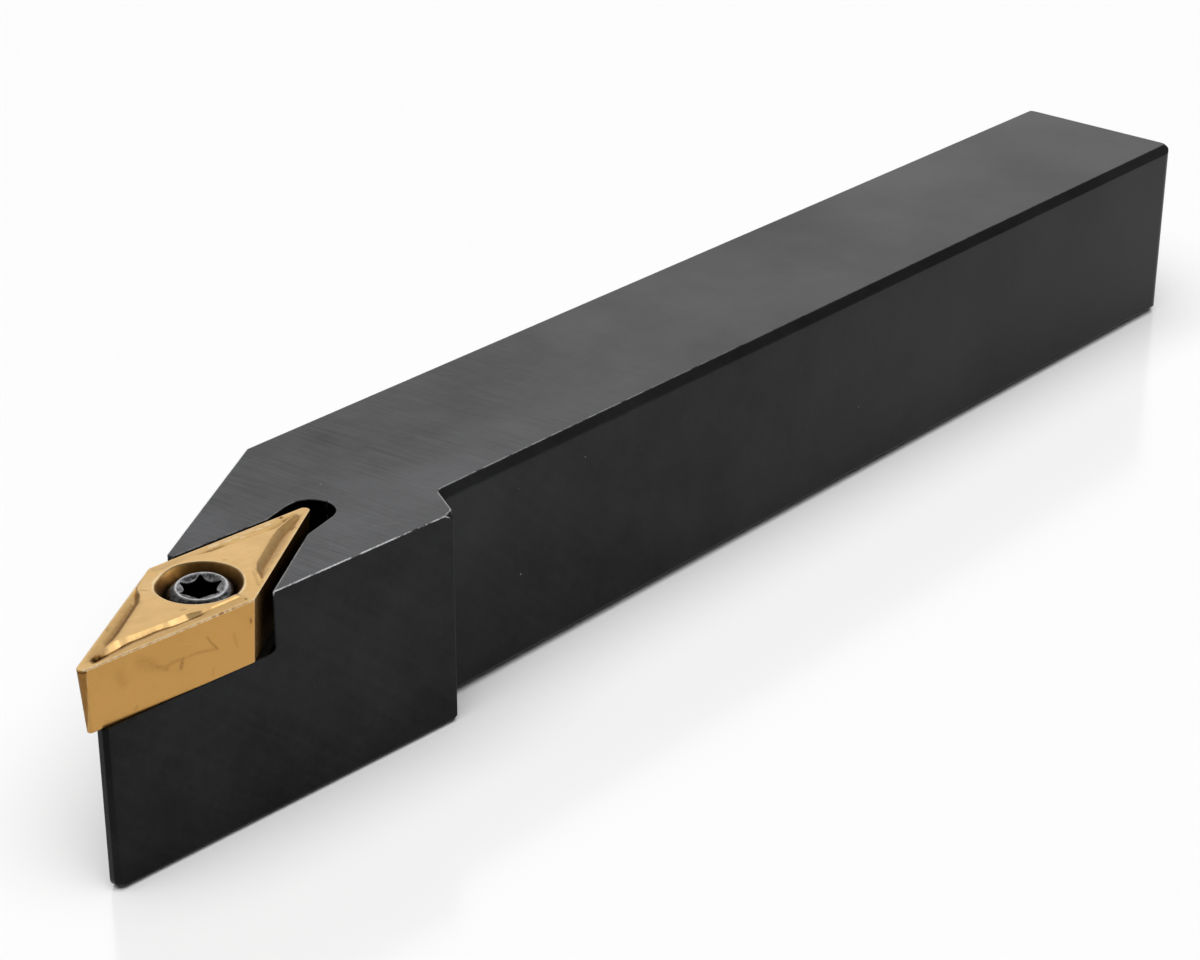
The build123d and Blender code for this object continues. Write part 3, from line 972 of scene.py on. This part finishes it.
def add_crown(build, lip):
    """The crown's face, with points for its countersink and spread over it evenly."""
    crown = circle(CROWN_RADIUS - CROWN_EDGE, SCREW_STEPS)
    sink = [p + RECESS_SHIFT for p in circle(SINK_RADIUS, SCREW_STEPS)]
    plan = crown + sink + lip
    pitch_x, pitch_y = CROWN_PITCH
    for row in range(-CROWN_ROWS, CROWN_ROWS + 1):
        for column in range(-CROWN_ROWS, CROWN_ROWS + 1):
            point = Vector(((column + 0.5 * (row % 2)) * pitch_x, row * pitch_y))
            if point.length < CROWN_RADIUS - CROWN_FADE:
                plan.append(point)
    build.sheet(plan, loop_edges(SCREW_STEPS, SCREW_STEPS, len(lip)), crown_height, crown, lip)


def add_recess(build, outline, lip):
    """The recess's wall and floor."""
    wall = [build.ring(lip, [crown_height(p) for p in lip])]
    for scale, drop in RECESS_WALL:
        heights = [max(sink_height(p) - drop, -RECESS_DEPTH) for p in outline]
        wall.append(build.ring([p * scale + RECESS_SHIFT for p in outline], heights))
    build.join(wall, flip=True)
    floor = [p * FLOOR_SCALE + RECESS_SHIFT for p in outline]
    build.sheet(floor, loop_edges(len(floor)), lambda p: -RECESS_DEPTH, floor)


def screw_mesh():
    """The clamping screw in its own frame, with its crown at height 0."""
    build = Build()
    add_shank(build)
    outline = recess_outline()
    lip = [p * LIP_SCALE + RECESS_SHIFT for p in outline]
    add_crown(build, lip)
    add_recess(build, outline, lip)
    return build


def crown_aside(point):
    """A point of the screw after its crown is set a little aside and leaned."""
    share = smooth((point.z + LEAN_DEPTH) / LEAN_DEPTH)
    across = point.x * (1 + CROWN_STRETCH[0] * share)
    along = point.y * (1 + CROWN_STRETCH[1] * share) - CROWN_ASIDE * share
    return Vector((across, along, point.z + share * CROWN_LEAN * point.x))


def screw_marks_and_painted_light(point):
    """Painted shade, and painted highlight with some wear at the recess's lip, of the screw at one
    point, each from 0 to 1.
    """
    plan = Vector((point.x, point.y))
    length = plan.length
    grain = noise.noise(point * 3.0)
    rub_and_highlight, stain_and_shade = 0.0, 0.0
    # Painted highlight: a bright ring round the crown's edge
    if point.z > -CROWN_RIM_DEPTH:
        rim_gap = abs(length - CROWN_RADIUS + CROWN_RIM_INSET) / CROWN_RIM_WIDTH
        rub_and_highlight = math.exp(-(rim_gap**2)) * (0.85 + 0.4 * grain)
    # Painted shade: the shoulder darkens downwards and the recess is black
    if length > CROWN_RADIUS - SHOULDER_TOP:
        stain_and_shade = 0.5 + 0.3 * smooth(-point.z / SHOULDER_SHADE) + 0.15 * grain
    elif point.z < sink_height(plan - RECESS_SHIFT) - RECESS_SHADE:
        stain_and_shade = 1.0
    else:
        lip_gap = min((p + RECESS_SHIFT - plan).length for p in RECESS_EDGE) / LIP_WIDTH
        rub_and_highlight = max(rub_and_highlight, 0.35 * math.exp(-(lip_gap**2)) * (0.7 + 1.2 * grain))
    return clamp(stain_and_shade), clamp(rub_and_highlight)


RECESS_EDGE = [p * LIP_MIDDLE_SCALE for p in recess_outline()]


def node(tree, kind, inputs=None, **settings):
    """A shader node with its settings and inputs; an input is a constant or another's output."""
    made = tree.nodes.new(kind)
    for name, value in settings.items():
        setattr(made, name, value)
    for key, value in (inputs or {}).items():
        if isinstance(value, bpy.types.NodeSocket):
            tree.links.new(value, made.inputs[key])
        else:
            made.inputs[key].default_value = value
    return made


def clouds(tree, place, scale, detail, rough):
    """A noise from 0 to 1 over a place."""
    inputs = {"Vector": place, "Scale": scale, "Detail": detail, "Roughness": rough}
    return node(tree, "ShaderNodeTexNoise", inputs).outputs[0]


def spread(tree, value, low, high, to_low, to_high, soft=True):
    """A value's range carried over to another range."""
    inputs = {"Value": value, "From Min": low, "From Max": high, "To Min": to_low, "To Max": to_high}
    kind = "SMOOTHSTEP" if soft else "LINEAR"
    return node(tree, "ShaderNodeMapRange", inputs, interpolation_type=kind).outputs[0]


def swing(tree, place, scale, detail, rough):
    """A noise mostly from -1 to 1 over a place."""
    return spread(tree, clouds(tree, place, scale, detail, rough), 0.3, 0.7, -1.0, 1.0, False)


def reckon(tree, operation, values):
    """Several values taken together, two at a time."""
    total = values[0]
    for value in values[1:]:
        total = node(tree, "ShaderNodeMath", {0: total, 1: value}, operation=operation).outputs[0]
    return total


def sum_of(tree, *values):
    """The sum of several values."""
    return reckon(tree, "ADD", values)


def product_of(tree, *values):
    """The product of several values."""
    return reckon(tree, "MULTIPLY", values)


def outside(tree, *shares):
    """1 where any of the shares is none, 0 where all of them are full."""
    return sum_of(tree, 1.0, product_of(tree, *shares, -1.0))


def blend(tree, share, first, second):
    """A colour between two colours."""
    inputs = {0: share, 6: first, 7: second}
    return node(tree, "ShaderNodeMix", inputs, data_type="RGBA").outputs[2]


def dot(tree, first, second):
    """The dot product of two directions or places."""
    made = node(tree, "ShaderNodeVectorMath", {0: first, 1: second}, operation="DOT_PRODUCT")
    return made.outputs["Value"]


def along_lines(tree, place, across, along):
    """A place drawn out along one direction, for streaks."""
    inputs = {0: dot(tree, place, across), 1: dot(tree, place, along)}
    return node(tree, "ShaderNodeCombineXYZ", inputs).outputs[0]


def new_metal(name):
    """A new metal material with its shader tree and the place of each point on the piece."""
    material = bpy.data.materials.new(name)
    material.use_nodes = True
    tree = material.node_tree
    tree.nodes["Principled BSDF"].inputs["Metallic"].default_value = 1.0
    return material, tree, node(tree, "ShaderNodeTexCoord").outputs["Object"]


def dress(tree, colour, rough, bump):
    """Gives a metal its colour, its roughness and the bumps of its surface."""
    normal = node(tree, "ShaderNodeBump", bump).outputs[0]
    surface = tree.nodes["Principled BSDF"].inputs
    for key, value in (("Base Color", colour), ("Roughness", rough), ("Normal", normal)):
        tree.links.new(value, surface[key])


def kept(tree, name):
    """A value kept on a piece's points."""
    return node(tree, "ShaderNodeAttribute", attribute_name=name).outputs["Fac"]


def holder_lines(tree, place, top, side, head):
    """Fine lines of the ground top and of the milled side, strongest on the head."""
    ground = along_lines(tree, place, (4200.0, 420.0, 0.0), (-14.0, 150.0, 0.0))
    milled = along_lines(tree, place, (900.0, 0.0, 1000.0), (60.0, 0.0, -54.0))
    ground_lines = product_of(tree, swing(tree, ground, 1.0, 3.0, 0.6), top, head)
    milled_lines = product_of(tree, swing(tree, milled, 1.0, 3.0, 0.6), side, head)
    return ground_lines, milled_lines


def holder_wear_and_highlight(tree, place, spot, bend):
    """How bright the holder's edges are painted, partly wear and partly painted highlight: broken by
    noise, weaker away from the near edge and towards the back, and less on the nose, below the chamfer
    at the shank and the rest, and at the bottom edge.
    """
    along, across, up = spot.outputs
    corner = spread(tree, bend, *EDGE_BEND, 0.0, 1.0)
    broken = spread(tree, clouds(tree, place, 700.0, 4.0, 0.7), 0.34, 0.54, 0.0, 1.0)
    fading = spread(tree, along, *WEAR_AND_HIGHLIGHT_FADE, 1.0, 0.2)
    near = spread(tree, across, *NEAR_EDGE, 1.0, 0.3)
    off_nose = spread(tree, along, *NOSE_END, 0.2, 1.0)
    below = spread(tree, up, *CHAMFER_FOOT, 1.0, 0.0)
    off_foot = outside(tree, below, spread(tree, along, *SHANK_START, 0.0, 1.0))
    off_rest = outside(tree, below, spread(tree, along, *REST_END, 1.0, 0.0))
    off_floor = spread(tree, up, *BASE_EDGE, 0.0, 1.0)
    return product_of(tree, corner, broken, fading, near, off_nose, off_foot, off_rest, off_floor)


def holder_painted_light(tree, spot, facing, top, side, head):
    """Broad changes of the holder's brightness, painted as light and shade: a lighter near half of the
    head's top and a lighter head side, painted shade darkening the side towards its foot, painted
    light on the chamfers by how far they face up, fading along them, and a darkening along the shank.
    """
    along, across, up = spot.outputs
    near_half = product_of(tree, spread(tree, across, *NEAR_HALF, 0.0, 0.34), top, head)
    # Painted shade: the side darkens towards its foot
    foot = product_of(tree, spread(tree, up, *SIDE_SHADE_FALL, 0.05, -0.62), side)
    # Painted light: the chamfers are lighter by how far they face up
    slanting = spread(tree, facing.outputs[2], *CHAMFER_FACING, 0.0, 1.0)
    fading = spread(tree, along, *CHAMFER_FADE, 0.6, -0.4)
    chamfer = product_of(tree, fading, slanting, outside(tree, top))
    head_side = product_of(tree, side, head, 0.3)
    length = spread(tree, along, *SHANK_FADE, 0.0, -0.3, False)
    return sum_of(tree, near_half, foot, chamfer, head_side, length)


def holder_material():
    """Black-oxide steel: ground top, milled sides, painted light and shade over its faces, edges with
    wear and painted highlights.
    """
    material, tree, place = new_metal("black_oxide_steel")
    flat = node(tree, "ShaderNodeNewGeometry").outputs["True Normal"]
    facing = node(tree, "ShaderNodeSeparateXYZ", {0: flat})
    spot = node(tree, "ShaderNodeSeparateXYZ", {0: place})
    top = spread(tree, facing.outputs[2], *TOP_FACING, 0.0, 1.0)
    side = spread(tree, facing.outputs[1], *SIDE_FACING, 1.0, 0.0)
    head = spread(tree, spot.outputs[0], *HEAD_FADE, 1.0, 0.12)
    ground_lines, milled_lines = holder_lines(tree, place, top, side, head)
    wide = swing(tree, place, 130.0, 5.0, 0.62)
    broad = swing(tree, place, 45.0, 2.0, 0.5)
    fine = swing(tree, place, 1500.0, 3.0, 0.7)
    fleck = spread(tree, clouds(tree, place, 2300.0, 1.0, 0.5), 0.84, 0.88, 0.0, 0.6)

    # Painted light: lighter where it faces up and stands high; the sides and the lower faces that face
    # up keep the darker painted shade
    raised = spread(tree, spot.outputs[2], *TOP_LEVEL, 0.12, 1.0)
    steel = blend(tree, product_of(tree, top, raised), SHADED_SIDE_STEEL, LIT_TOP_STEEL)
    tone = sum_of(
        tree,
        product_of(tree, wide, 0.34),
        product_of(tree, broad, 0.3),
        product_of(tree, ground_lines, 0.24),
        product_of(tree, milled_lines, 0.13),
        product_of(tree, fine, 0.12),
        holder_painted_light(tree, spot, facing, top, side, head),
        1.0,
    )
    shaded = node(tree, "ShaderNodeVectorMath", {0: steel, 3: tone}, operation="SCALE").outputs[0]

    # Edges made bright, partly wear and partly a painted highlight, where the rounded normal leaves
    # the flat one, and a few bright flecks
    rounded = node(tree, "ShaderNodeBevel", {"Radius": EDGE_ROUNDING_RADIUS}, samples=6).outputs[0]
    worn_and_highlit = holder_wear_and_highlight(tree, place, spot, dot(tree, rounded, flat))
    bright = reckon(tree, "MAXIMUM", (worn_and_highlit, fleck))
    colour = blend(tree, bright, shaded, BARE_STEEL_AND_HIGHLIGHT)

    rough = sum_of(tree, product_of(tree, wide, 0.03), product_of(tree, fine, 0.02), 0.38)
    relief = sum_of(
        tree,
        product_of(tree, ground_lines, 0.5),
        product_of(tree, milled_lines, 0.4),
        product_of(tree, fine, 0.4),
    )
    bump = {"Height": relief, "Strength": 0.12, "Distance": 0.00002, "Normal": rounded}
    dress(tree, colour, rough, bump)
    return material


def insert_material():
    """Satin gold coating, stained and given painted shade in its grooves, seat and nose, with wear and
    painted highlights at its edges.
    """
    material, tree, place = new_metal("gold_coating")
    flat = node(tree, "ShaderNodeNewGeometry").outputs["True Normal"]
    facing = node(tree, "ShaderNodeSeparateXYZ", {0: flat})
    stain_and_shade, rub_and_highlight = kept(tree, "stain_and_shade"), kept(tree, "rub_and_highlight")
    up = spread(tree, facing.outputs[2], 0.1, 0.8, 0.0, 1.0)
    wide = clouds(tree, place, 230.0, 4.0, 0.6)
    fine = clouds(tree, place, 2600.0, 3.0, 0.7)
    streaks = along_lines(tree, place, (1500.0, 4200.0, 0.0), (260.0, -90.0, 300.0))
    brushed = clouds(tree, streaks, 1.0, 2.0, 0.6)

    # Painted shade: the flanks take a darker copy of the top's colour
    gold = blend(tree, up, GOLD_FLANK_SHADE, GOLD_TOP)
    cloudy = blend(tree, spread(tree, wide, 0.3, 0.75, 0.0, 0.34), gold, GOLD_CLOUD)
    grain = product_of(tree, spread(tree, brushed, 0.35, 0.7, 0.0, 0.12), up)
    grained = blend(tree, grain, cloudy, GOLD_GRAIN)
    rubbed_and_highlit = blend(tree, product_of(tree, rub_and_highlight, 0.8), grained, GOLD_RUB_AND_HIGHLIGHT)
    # Stains and painted shade: brown, then black where deepest
    brown_share = spread(tree, stain_and_shade, 0.0, FULL_BROWN, 0.0, 1.0, False)
    black_share = spread(tree, stain_and_shade, FULL_BROWN, 1.0, 0.0, 1.0, False)
    brown = blend(tree, brown_share, rubbed_and_highlit, BROWN_STAIN_AND_SHADE)
    stained_and_shaded = blend(tree, black_share, brown, BLACK_STAIN_AND_SHADE)

    uneven = spread(tree, fine, 0.3, 0.7, -0.04, 0.04, False)
    rough = sum_of(tree, uneven, product_of(tree, stain_and_shade, 0.25), 0.31)
    relief = sum_of(tree, product_of(tree, brushed, up), fine)
    dress(tree, stained_and_shaded, rough, {"Height": relief, "Strength": 0.1, "Distance": 0.000012})
    return material


def screw_material():
    """Dark screw steel, mottled on its crown, painted black as shade down its shoulder and in its
    recess, with a painted highlight round its crown's edge and on the recess's lip, where the driver
    also wears it.
    """
    material, tree, place = new_metal("dark_screw_steel")
    stain_and_shade, rub_and_highlight = kept(tree, "stain_and_shade"), kept(tree, "rub_and_highlight")
    patches = clouds(tree, place, 2200.0, 4.0, 0.65)
    fine = clouds(tree, place, 6500.0, 2.0, 0.7)
    steel = blend(tree, spread(tree, patches, 0.38, 0.62, 0.0, 1.0), SCREW_DARK, SCREW_LIGHT)
    grained = blend(tree, spread(tree, fine, 0.5, 0.7, 0.0, 0.35), steel, SCREW_LIGHT)
    # Painted shade in black, then the painted highlight with some wear
    shade_painted = blend(tree, stain_and_shade, grained, SCREW_SHADE_BLACK)
    rubbed_and_highlit = blend(tree, rub_and_highlight, shade_painted, SCREW_RUB_AND_HIGHLIGHT)

    rough = spread(tree, patches, 0.3, 0.7, 0.3, 0.46)
    relief = sum_of(tree, patches, fine)
    dress(tree, rubbed_and_highlit, rough, {"Height": relief, "Strength": 0.25, "Distance": 0.00002})
    return material


def floor_material():
    """A pale matt surface with a soft gloss."""
    material = bpy.data.materials.new("pale_floor")
    material.use_nodes = True
    tree = material.node_tree
    tree.nodes.clear()
    matt = node(tree, "ShaderNodeBsdfDiffuse", {"Color": FLOOR_COLOUR}).outputs[0]
    inputs = {"Color": (1, 1, 1, 1), "Roughness": FLOOR_ROUGHNESS}
    gloss = node(tree, "ShaderNodeBsdfAnisotropic", inputs).outputs[0]
    mixed = node(tree, "ShaderNodeMixShader", {0: FLOOR_GLOSS, 1: matt, 2: gloss}).outputs[0]
    node(tree, "ShaderNodeOutputMaterial", {"Surface": mixed})
    return material


def add_stage():
    """The floor that the tool lies on."""
    mesh = bpy.data.meshes.new("floor")
    size = FLOOR_SIZE
    corners = [(-size, -size, 0), (size, -size, 0), (size, size, 0), (-size, size, 0)]
    mesh.from_pydata(corners, [], [(0, 1, 2, 3)])
    floor = bpy.data.objects.new("floor", mesh)
    floor.location.z = -FLOOR_DROP
    bpy.context.scene.collection.objects.link(floor)
    mesh.materials.append(floor_material())


def add_world():
    """Studio light that the metal mirrors: one soft box behind and one at the front right."""
    world = bpy.data.worlds.new("studio")
    bpy.context.scene.world = world
    world.use_nodes = True
    tree = world.node_tree
    world.cycles_visibility.diffuse = False
    background = tree.nodes["Background"]
    way = node(tree, "ShaderNodeTexCoord").outputs["Generated"]
    split = node(tree, "ShaderNodeSeparateXYZ", {0: way})
    behind = spread(tree, split.outputs["Y"], *FRONT_TO_BACK, FRONT_LIGHT, BACK_LIGHT)
    back_box = spread(tree, dot(tree, way, BACK_BOX), *BACK_BOX_EDGE, 0.0, BACK_BOX_LIGHT)
    side_box = spread(tree, dot(tree, way, SIDE_BOX), *SIDE_BOX_EDGE, 0.0, SIDE_BOX_LIGHT)
    above = spread(tree, split.outputs["Z"], *HORIZON, HORIZON_LIGHT, 1.0)
    strength = product_of(tree, sum_of(tree, behind, back_box, side_box), above)
    tree.links.new(strength, background.inputs["Strength"])
    background.inputs["Color"].default_value = (1, 1, 1, 1)


def add_sun():
    """A wide soft light that keeps the floor even; it is not mirrored in the tool."""
    data = bpy.data.lights.new("wide_light", "SUN")
    data.energy = SUN_LIGHT
    data.angle = SUN_ANGLE
    light = bpy.data.objects.new("wide_light", data)
    light.rotation_euler = Vector(SUN_WAY).to_track_quat("-Z", "Y").to_euler()
    light.visible_glossy = False
    bpy.context.scene.collection.objects.link(light)


def add_camera():
    """The photograph's camera."""
    data = bpy.data.cameras.new("camera")
    data.sensor_width = CAMERA_SENSOR
    data.lens = CAMERA_LENS
    data.clip_start, data.clip_end = CAMERA_CLIP
    camera = bpy.data.objects.new("camera", data)
    camera.location = CAMERA_PLACE
    camera.rotation_euler = [math.radians(a) for a in CAMERA_TURN]
    bpy.context.scene.collection.objects.link(camera)
    bpy.context.scene.camera = camera


def own_frame(box, drop, turn):
    """Where a piece's own frame lies: at its box's middle, a drop below the top, turned."""
    low, high = box
    middle = (low + high) / 2
    lift = Matrix.Translation((middle.x, middle.y, high.z - drop))
    return lift @ Matrix.Rotation(turn, 4, "Z")


bpy.context.scene.view_settings.view_transform = "Standard"
add_camera()
add_world()
add_sun()
add_stage()

place = own_frame(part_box("cutting_insert"), FIELD_RISE * MM, INSERT_TURN)
insert = new_piece("coated_insert", insert_mesh(), place, insert_material(), insert_marks_and_painted_light, ground_back)
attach(insert, "root")
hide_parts("cutting_insert")

place = own_frame(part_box("clamping_screw"), 0.0, SCREW_TURN)
screw = new_piece("six_lobe_screw", screw_mesh(), place, screw_material(), screw_marks_and_painted_light, crown_aside)
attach(screw, "root")
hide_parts("clamping_screw")

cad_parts["holder_body"].data.materials[0] = holder_material()
